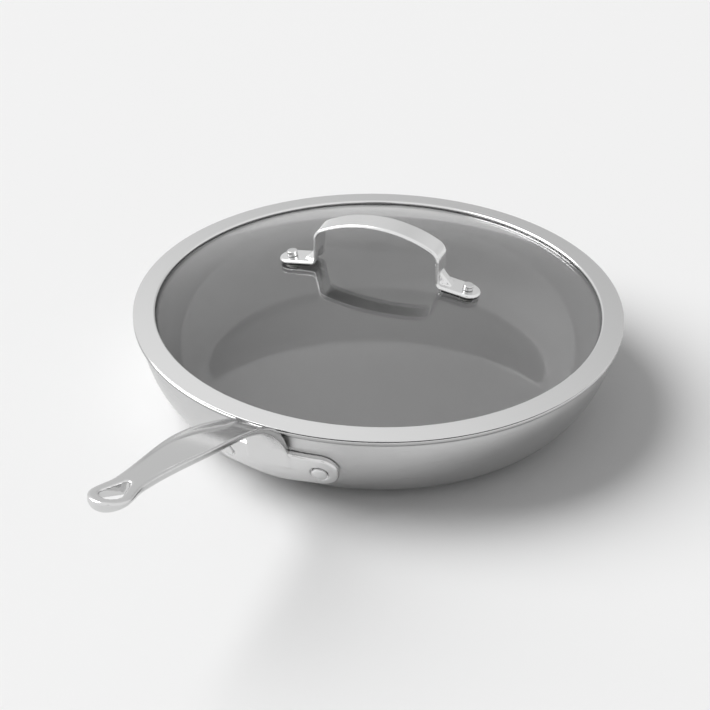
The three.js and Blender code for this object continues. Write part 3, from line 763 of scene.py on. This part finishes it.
def counterbore_field(x, y, z):
    """The two recesses that the rivets' heads sit in."""
    field = np.full(np.broadcast(x, y, z).shape, FAR)
    for matrix in into_rivets:
        local = [matrix[i, 0] * x + matrix[i, 1] * y + matrix[i, 2] * z + matrix[i, 3] for i in range(3)]
        bore = np.hypot(local[0], local[1]) - COUNTERBORE_R
        field = np.minimum(field, np.maximum(bore, HEAD_SEAT - local[2]))
    return field


def handle_field(x, y, z):
    cast = blend_union(bracket_field(x, y, z), grip_field(x, y, z), ROOT_BLEND)
    wall_side = BRACKET_GAP + look_up(wall_table, np.hypot(x, y), z)[1]
    near_wall = np.hypot(x, y) < WALL_R + NEAR_WALL
    cast = np.where(near_wall, np.maximum(cast, wall_side), cast)
    return round_cut(cast, -counterbore_field(x, y, z), COUNTERBORE_EDGE)


FAR_PITCHES = 4  # pitches from the surface at which the grid counts as empty
SETTLE_ROUNDS = 4  # moves that bring the surface's corners onto the field's zero
SLOPE_REACH = 0.05
LEAST_SLOPE = 0.2
LONGEST_MOVE = 0.3


def field_surface(field, low, high, step):
    """Quads over the surface where a field is zero, with each corner brought onto it."""
    axes = [np.arange(low[i], high[i] + step, step) for i in range(3)]
    values = np.empty([len(axis) for axis in axes], np.float32)
    for i, x in enumerate(axes[0]):
        values[i] = field(np.full((1, 1), x), axes[1][:, None], axes[2][None, :])
    grid = openvdb.FloatGrid(FAR_PITCHES * step)
    grid.copyFromArray(values)
    points, quads = grid.convertToQuads(0.0)
    points = points.astype(float) * step + np.array([axis[0] for axis in axes])
    for _ in range(SETTLE_ROUNDS):
        here = field(*points.T)
        slope = np.stack([
            (field(*(points + shift).T) - field(*(points - shift).T)) / (2 * SLOPE_REACH)
            for shift in np.eye(3) * SLOPE_REACH
        ], axis=1)
        size = np.maximum((slope ** 2).sum(1), LEAST_SLOPE)
        points -= np.clip(here / size, -LONGEST_MOVE, LONGEST_MOVE)[:, None] * slope
    return points, quads.tolist()


# Room round the handle in the box that its grid fills, and the height that the box starts at
ROOM_BESIDE = 2
ROOM_PAST_TIP = 3
ROOM_OVER_TIP = 6
ROOM_INSIDE_WALL = 24
BOX_LOW = 12


def make_handle(steel):
    half = RIVET_ARC + BRACKET_END_R + ROOM_BESIDE
    low = (-half, -grip_tip[0] - ROOM_PAST_TIP, BOX_LOW)
    high = (half, ROOM_INSIDE_WALL - SEAT_R, grip_tip[1] + ROOM_OVER_TIP)
    surface = field_surface(handle_field, low, high, HANDLE_GRID)
    stand_for("pan_handle", mesh_of("pan_handle", *surface, SHARP_IF_ROUNDED), steel)


def button_head(radius, seat, height):
    """Corners of a low domed head from the edge of its seat to the axis."""
    dome = [
        (radius * math.cos(t), seat + height * (HEAD_UPRIGHT + (1 - HEAD_UPRIGHT) * math.sin(t)))
        for t in np.linspace(0, math.pi / 2, HEAD_STEPS + 1)
    ]
    return [(radius, seat)] + dome


def make_rivets(steel):
    seat = HEAD_SEAT + CLEARANCE
    inside = -LINING - INNER_HEAD_GAP
    profile = button_head(INNER_HEAD_R, inside, -INNER_HEAD_H)[::-1]
    profile += [(RIVET_R, inside), (RIVET_R, seat)]
    profile += button_head(RIVET_HEAD_R, seat, RIVET_HEAD_H)
    for name, side in SIDES.items():
        vertices, faces = turned(profile, SMALL_ROUND)
        node = f"handle_rivet_{name}"
        stand_for(node, mesh_of(node, placed(vertices, rivet_place(side)), faces), steel)


# Lid, in its own frame: its seat on the lip is at height 0

LID_PLACE = Matrix.Translation((0, 0, SEAT_Z)) @ Matrix.Rotation(math.radians(LID_TURN), 4, "Z")
SKIRT_R = WALL_R - SHEET - SKIRT_GAP
SKIRT_IN = SKIRT_R - BAND_T
GLASS_R = SKIRT_IN - GLASS_EDGE_GAP
BAND_IN = LIP_R - BAND_WIDTH


def ball_drop(radius, ball):
    return ball - np.sqrt(ball * ball - radius * radius)


GLASS_TOP = GLASS_LEVEL + ball_drop(BAND_IN, BALL_R)


def over_glass(radius):
    return GLASS_TOP - ball_drop(radius, BALL_R)


def under_glass(radius):
    return GLASS_TOP - GLASS_T - ball_drop(radius, BALL_R - GLASS_T)


def lid_piece(node, vertices, faces, material, sharp_angle=SHARP):
    return stand_for(node, mesh_of(node, placed(vertices, LID_PLACE), faces, sharp_angle), material)


def make_glass(material):
    radii = np.linspace(0, GLASS_R, DOME_STEPS + 1)
    profile = np.vstack([
        np.stack([radii, under_glass(radii)], axis=1),
        np.stack([radii, over_glass(radii)], axis=1)[::-1],
    ])
    pane = lid_piece("lid_glass", *turned(profile), material)
    # Clear glass takes hardly any light, so it casts no shadow on the lining.
    pane.visible_shadow = False


def band_top(radius):
    return BAND_EDGE_H + (BAND_LIP_H - BAND_EDGE_H) * (LIP_R - radius) / BAND_WIDTH


def ledge_at(radius):
    return under_glass(radius) - LEDGE_DROP


def make_band(material):
    bead = BEAD_ROUND * (BAND_EDGE_H - GROOVE) / 2
    fold = BAND_IN + BAND_T
    ledge_in = SKIRT_R - LEDGE_WIDTH
    lip_low = BAND_LIP_H - BAND_LIP_DROP - LIP_CLOSE
    profile = rounded([
        (BAND_IN, lip_low, BAND_CUT_EDGE),
        (fold, lip_low, BAND_CUT_EDGE),
        (fold, band_top(fold) - BAND_T, LIP_ROUND - BAND_T),
        (SKIRT_IN, band_top(SKIRT_IN) - BAND_T, BAND_INNER_FOLD),
        (SKIRT_IN, ledge_at(SKIRT_IN), BAND_INNER_FOLD),
        (ledge_in, ledge_at(ledge_in), BAND_CUT_EDGE),
        (ledge_in, ledge_at(ledge_in) - BAND_T, BAND_CUT_EDGE),
        (SKIRT_R, ledge_at(SKIRT_R) - BAND_T, BAND_OUTER_FOLD),
        (SKIRT_R, 0, SKIRT_CORNER),
        (LIP_R - GROOVE_WIDTH, 0, GROOVE_CORNER),
        (LIP_R, GROOVE, bead),
        (LIP_R, band_top(LIP_R), bead),
        (BAND_IN, BAND_LIP_H, LIP_ROUND),
    ], BAND_CORNER_STEPS)
    lid_piece("lid_band", *turned(profile), material, SHARP_IF_ROUNDED)


def make_seal(material):
    outer = SKIRT_IN - BED_GAP
    hollow = GLASS_R + BED_GAP
    top_in = BAND_IN + BAND_T + BED_GAP
    past_lip = top_in + LIP_ROUND
    ledge_in = SKIRT_R - LEDGE_WIDTH
    profile = [
        (top_in, over_glass(top_in) + BED_GAP),
        (top_in, band_top(top_in) - LIP_ROUND),
        (past_lip - BAND_T, band_top(past_lip) - BAND_T - BED_GAP),
        (outer, band_top(outer) - BAND_T - BED_GAP),
        (outer, ledge_at(outer) + BED_GAP),
        (ledge_in, ledge_at(ledge_in) + BED_GAP),
        (ledge_in, under_glass(ledge_in) - BED_GAP),
        (hollow, under_glass(hollow) - BED_GAP),
        (hollow, over_glass(hollow) + BED_GAP),
    ]
    lid_piece("lid_seal", *turned(profile), material)


# Lid handle: a strap in the plane of its arch, x along it and y up

TILT = math.asin(FOOT_OUT / BALL_R)
FOOT_NORMAL = np.array([math.sin(TILT), math.cos(TILT)])
FOOT_ALONG = np.array([math.cos(TILT), -math.sin(TILT)])
ON_GLASS = np.array([FOOT_OUT, over_glass(FOOT_OUT)])
PAD_LOW = CLEARANCE
FOOT_LOW = PAD_LOW + PAD_T + CLEARANCE
foot_middle = ON_GLASS + FOOT_NORMAL * (FOOT_LOW + STRAP_T / 2)
BEND_X = LEG_OUT + BEND_R
BEND_Y = foot_middle[1] + (BEND_R - (BEND_X - foot_middle[0]) * FOOT_NORMAL[0]) / FOOT_NORMAL[1]
ARCH_Y = GLASS_TOP + STRAP_TOP - STRAP_T / 2 - ARCH_R
CORNER_X = LEG_OUT - CORNER_R
CORNER_RISE = math.sqrt((ARCH_R - CORNER_R) ** 2 - CORNER_X ** 2)
CORNER_TURN = math.atan2(CORNER_RISE, CORNER_X)


def strap_middle_line():
    """Middle line of the right half of the strap, from its foot's end to the top of the arch."""
    end = foot_middle + FOOT_ALONG * STRAP_W / 2
    bend = arc(BEND_X, BEND_Y, BEND_R, 1.5 * math.pi - TILT, math.pi, BEND_STEPS)
    corner = arc(CORNER_X, ARCH_Y + CORNER_RISE, CORNER_R, 0, CORNER_TURN, CORNER_STEPS)
    top = arc(0, ARCH_Y, ARCH_R, CORNER_TURN, math.pi / 2, ARCH_STEPS)
    round_end = STRAP_W / 2 * (1 - np.cos(np.linspace(0, math.pi / 2, FOOT_END_STEPS + 1)))
    tip = end - FOOT_ALONG * round_end[:, None]
    foot = np.linspace(tip[-1], bend[0], FOOT_STEPS + 1)
    leg = np.linspace(bend[-1], corner[0], LEG_STEPS + 1)
    return np.vstack([tip, foot[1:-1], bend, leg[1:-1], corner, top[1:]])


def gusset_line(line):
    """The strap's line where the gusset is pressed: it cuts across the bend from leg to foot."""
    at = lengths_along(line)
    corner = np.hypot(line[:, 0] - BEND_X + BEND_R, line[:, 1] - BEND_Y + BEND_R).argmin()
    low, high = at[corner] - GUSSET_LEG, at[corner] + GUSSET_LEG
    pressed = line.copy()
    inside = (at > low) & (at < high)
    for i in (0, 1):
        ends = [np.interp(place, at, line[:, i]) for place in (low, high)]
        pressed[inside, i] = np.interp(at[inside], (low, high), ends)
    return pressed


def make_strap(material):
    half = strap_middle_line()
    pressed = gusset_line(half)
    line = np.vstack([half, half[-2::-1] * (-1, 1)])
    pressed = np.vstack([pressed, pressed[-2::-1] * (-1, 1)])
    at = lengths_along(line)
    end_r, thick = STRAP_W / 2, STRAP_T / 2
    # How far each section lies from the centre of its foot's round end.
    past = np.maximum(end_r - np.minimum(at, at[-1] - at), 0)[:, None]

    def edge(radius):
        """Half widths and heights of a rounded edge, from the face it starts on to the strap's side."""
        last = np.arccos(np.clip((past - end_r + radius) / radius, 0, 1))
        turn = last * np.linspace(1, 0, STRAP_EDGE_STEPS + 1)
        reach = end_r - radius + radius * np.cos(turn)
        return np.sqrt(np.maximum(reach ** 2 - past ** 2, 0)), thick - radius + radius * np.sin(turn)

    high_w, high = edge(STRAP_EDGE)
    low_w, low = edge(STRAP_LOW_EDGE)
    share = np.linspace(-1, 1, ACROSS_STEPS + 1)[1:-1]
    top_w, under_w = high_w[:, :1] * share, low_w[:, :1] * share
    top, under = np.ones_like(top_w) * high[:, :1], np.ones_like(under_w) * low[:, :1]
    width = np.hstack([top_w, high_w, low_w[:, ::-1], -under_w, -low_w, -high_w[:, ::-1]])
    height = np.hstack([top, high, -low[:, ::-1], -under, -low, high[:, ::-1]])
    press = 1 - smooth_step(np.abs(width), GUSSET_FLAT, GUSSET_END)
    middle = line[:, None, :] + (pressed - line)[:, None, :] * press[:, :, None]
    tangent = np.gradient(middle, axis=0)
    tangent /= np.linalg.norm(tangent, axis=2, keepdims=True)
    normal = np.stack([tangent[:, :, 1], -tangent[:, :, 0]], axis=2)
    surface = middle + normal * height[:, :, None]
    points = np.stack([surface[:, :, 0], width, surface[:, :, 1]], axis=2)
    lid_piece("lid_handle", *skin(points), material, SHARP_IF_ROUNDED)


def foot_place(side):
    """A frame at a foot's stud: Z points out of the glass, the origin is on the glass."""
    return Matrix.Translation((side * ON_GLASS[0], 0, ON_GLASS[1])) @ Matrix.Rotation(side * TILT, 4, "Y")


def washer(inner, outer, bottom, top):
    corners = [(inner, bottom), (outer, bottom), (outer, top), (inner, top)]
    return rounded([(*corner, WASHER_EDGE) for corner in corners])


def pad_mesh(side):
    """The pad under a foot: the foot's outline, from its round end to the bend, with a soft edge."""
    end = STRAP_W / 2 - PAD_INSET
    length = FOOT_OUT - BEND_X
    round_end = arc(0, 0, end, -math.pi / 2, math.pi / 2, PAD_END_STEPS)
    outline = np.vstack([round_end, [(-length, end), (-length, -end)]])
    outline[:, 0] *= side
    centre = np.array([side * (PAD_MIDDLE - length / 2), 0])
    upper_edge = [(inset, PAD_T - height) for inset, height in PAD_EDGE[::-1]]
    rings = []
    for inset, height in PAD_EDGE + upper_edge:
        out = outline - centre
        size = 1 - inset / np.linalg.norm(out, axis=1, keepdims=True)
        ring = centre + out * size
        rings.append(np.column_stack([ring, np.full(len(ring), PAD_LOW + height)]))
    return skin(np.array(rings))


def make_fixings(bright, silicone, clear):
    bore = STUD_R + CLEARANCE
    gasket_top = -GLASS_T - CLEARANCE
    washer_top = gasket_top - GASKET_T - CLEARANCE
    tail_top = washer_top - WASHER_T - CLEARANCE
    head_low = FOOT_LOW + STRAP_T + CLEARANCE
    head_top = head_low + STUD_HEAD_H
    head = rounded([
        (0, head_low, 0), (STUD_HEAD_R, head_low, STUD_LOW_EDGE),
        (STUD_HEAD_R, head_top, STUD_EDGE), (0, head_top, 0),
    ])
    tail = button_head(STUD_TAIL_R, tail_top, -STUD_TAIL_H)[::-1]
    stud = np.vstack([tail, [(STUD_R, tail_top), (STUD_R, head_low)], head[1:]])
    turned_pieces = {
        "lid_rivet": (stud, bright),
        "glass_bush": (washer(bore, bore + BUSH_WALL, -GLASS_T, 0), clear),
        "under_gasket": (washer(bore, GASKET_R, gasket_top - GASKET_T, gasket_top), clear),
        "backing_washer": (washer(bore, WASHER_R, washer_top - WASHER_T, washer_top), bright),
    }
    for name, side in SIDES.items():
        place = foot_place(side)
        for kind, (profile, material) in turned_pieces.items():
            vertices, faces = turned(profile, SMALL_ROUND)
            lid_piece(f"{kind}_{name}", placed(vertices, place), faces, material)
        vertices, faces = pad_mesh(side)
        lid_piece(f"foot_pad_{name}", placed(vertices, place), faces, silicone)


# Floor, light and camera

CAMERA_AZIMUTH = 24.73
CAMERA_ELEVATION = 31.54
CAMERA_ROLL = 0.69
CAMERA_DISTANCE = 1300
CAMERA_TARGET = Vector((-13.38, -6.16, 22.49))
LENS = 100.38
SENSOR = 36
FLOOR_HALF = 12000
FLOOR_DROP = 0.2  # keeps the floor just clear of the pan's underside
KEY_TURN = 283  # degrees to the right of straight away from the camera
KEY_UP = 44  # degrees above the floor
KEY_SPREAD = 50  # degrees across
KEY_STRENGTH = 3.1
EVEN_LIGHT = 0.33  # strength of the room on matt surfaces

# Backdrop: shares of a direction and the brightness there, where 1 is white and brighter is held to 1
BACKDROP_LEFT = (-0.3, 1.2)
BACKDROP_GREYEST = (0.25, 0.82)
BACKDROP_RIGHT = (0.55, 1)
BACKDROP_LOW = (0.3, 0.7)
BACKDROP_HIGH = (0.75, 1)
BACKDROP_START = (0.35, 0)
BACKDROP_FULL = (0.7, 1)
CAMERA_OUTLINE = (math.cos(math.radians(8)), 1)
CAMERA_FRONT = (math.cos(math.radians(6)), 0.03)


def add_camera():
    """The camera at the photograph's angle."""
    azimuth, elevation, roll = (math.radians(v) for v in (CAMERA_AZIMUTH, CAMERA_ELEVATION, CAMERA_ROLL))
    back = Vector((
        math.cos(elevation) * math.sin(azimuth),
        -math.cos(elevation) * math.cos(azimuth),
        math.sin(elevation),
    ))
    level = Vector((math.cos(azimuth), math.sin(azimuth), 0))
    high = back.cross(level)
    right = math.cos(roll) * level + math.sin(roll) * high
    up = back.cross(right)
    data = bpy.data.cameras.new("camera")
    data.lens, data.sensor_width = LENS, SENSOR
    camera = bpy.data.objects.new("camera", data)
    bpy.context.scene.collection.objects.link(camera)
    turn = Matrix((right, up, back)).transposed().to_4x4()
    camera.matrix_world = Matrix.Translation((CAMERA_TARGET + CAMERA_DISTANCE * back) * MM) @ turn
    bpy.context.scene.camera = camera


def add_floor():
    mesh = bpy.data.meshes.new("floor")
    half = FLOOR_HALF * MM
    corners = [(-half, -half, 0), (half, -half, 0), (half, half, 0), (-half, half, 0)]
    mesh.from_pydata(corners, [], [(0, 1, 2, 3)])
    material, _, _ = new_material("floor_matt", {"Base Color": colour("#eeeeee"), "Roughness": 0.7})
    mesh.materials.append(material)
    floor = bpy.data.objects.new("floor", mesh)
    bpy.context.scene.collection.objects.link(floor)
    floor.location.z = -FLOOR_DROP * MM


def round_pan(turn, up):
    """The direction at degrees to the right of straight away from the camera, and above the floor."""
    turn, up = math.radians(turn - CAMERA_AZIMUTH), math.radians(up)
    return Vector((math.cos(up) * math.sin(turn), math.cos(up) * math.cos(turn), math.sin(up)))


def add_soft_light(name, direction, spread, strength):
    """A wide even light from far off. The glass lets it through to the lining without a second image."""
    data = bpy.data.lights.new(name, "SUN")
    data.angle = math.radians(spread)
    data.energy = strength
    lamp = bpy.data.objects.new(name, data)
    bpy.context.scene.collection.objects.link(lamp)
    lamp.visible_transmission = False
    lamp.rotation_euler = (-direction).to_track_quat("-Z", "Y").to_euler()


def add_surroundings():
    """A white room whose backdrop is greyer low down and right of the middle, and a small dark camera."""
    world = bpy.data.worlds.new("studio")
    bpy.context.scene.world = world
    world.use_nodes = True
    tree = world.node_tree
    place = add(tree, "ShaderNodeTexCoord")
    azimuth, elevation = math.radians(CAMERA_AZIMUTH), math.radians(CAMERA_ELEVATION)
    away = (-math.sin(azimuth), math.cos(azimuth), 0)
    right = (math.cos(azimuth), math.sin(azimuth), 0)
    to_camera = (-math.cos(elevation) * away[0], -math.cos(elevation) * away[1], math.sin(elevation))

    def towards(direction, start, end, ease="SMOOTHSTEP"):
        """Brightness that runs from one key to another along a direction."""
        share = add(tree, "ShaderNodeVectorMath", {
            0: place.outputs["Generated"], 1: direction,
        }, operation="DOT_PRODUCT")
        return add(tree, "ShaderNodeMapRange", {
            "Value": share.outputs["Value"], "From Min": start[0], "From Max": end[0],
            "To Min": start[1], "To Max": end[1],
        }, interpolation_type=ease).outputs[0]

    def combine(operation, a, b):
        return add(tree, "ShaderNodeMath", {0: a, 1: b}, operation=operation).outputs[0]

    on_left = towards(right, BACKDROP_LEFT, BACKDROP_GREYEST, "LINEAR")
    on_right = towards(right, BACKDROP_GREYEST, BACKDROP_RIGHT)
    across = combine("MAXIMUM", on_left, on_right)
    upwards = towards((0, 0, 1), BACKDROP_LOW, BACKDROP_HIGH, "LINEAR")
    backdrop = combine("MINIMUM", combine("MULTIPLY", upwards, across), 1.0)
    behind = towards(away, BACKDROP_START, BACKDROP_FULL)
    room = add(tree, "ShaderNodeMapRange", {"Value": behind, "To Min": 1.0, "To Max": backdrop}).outputs[0]
    room = combine("MULTIPLY", room, towards(to_camera, CAMERA_OUTLINE, CAMERA_FRONT))
    # Metal and glass show the room, and matt surfaces take an even light from it.
    ray = add(tree, "ShaderNodeLightPath").outputs
    seen = combine("MAXIMUM", ray["Is Glossy Ray"], ray["Is Transmission Ray"])
    seen = combine("MAXIMUM", ray["Is Camera Ray"], seen)
    seen = combine("SUBTRACT", seen, combine("MINIMUM", ray["Diffuse Depth"], 1.0))
    strength = add(tree, "ShaderNodeMapRange", {"Value": seen, "To Min": EVEN_LIGHT, "To Max": room})
    tree.links.new(strength.outputs[0], tree.nodes["Background"].inputs["Strength"])
    tree.nodes["Background"].inputs["Color"].default_value = (1, 1, 1, 1)


def main():
    # Buffed steel mirrors the room, satin blurs it, and tumbled steel only glows.
    bright = polished_stainless("stainless_polished", "#d4d4d4", 0.1, 6)
    buffed = polished_stainless("stainless_buffed", "#dadada", 0.12, 15)
    satin = polished_stainless("stainless_satin", "#e2e2e2", 0.2, 15)
    tumbled = polished_stainless("stainless_tumbled", "#dcdcdc", 0.35, 2)
    silicone = black_silicone()
    make_pan(brushed_stainless(), bright, aluminium_core(), ceramic_coating())
    make_handle(cast_stainless())
    make_rivets(tumbled)
    make_glass(toughened_glass())
    make_band(buffed)
    make_seal(silicone)
    make_strap(satin)
    make_fixings(bright, silicone, clear_silicone())
    add_camera()
    add_floor()
    add_soft_light("key_light", round_pan(KEY_TURN, KEY_UP), KEY_SPREAD, KEY_STRENGTH)
    add_surroundings()
    bpy.context.scene.view_settings.view_transform = "Standard"


main()
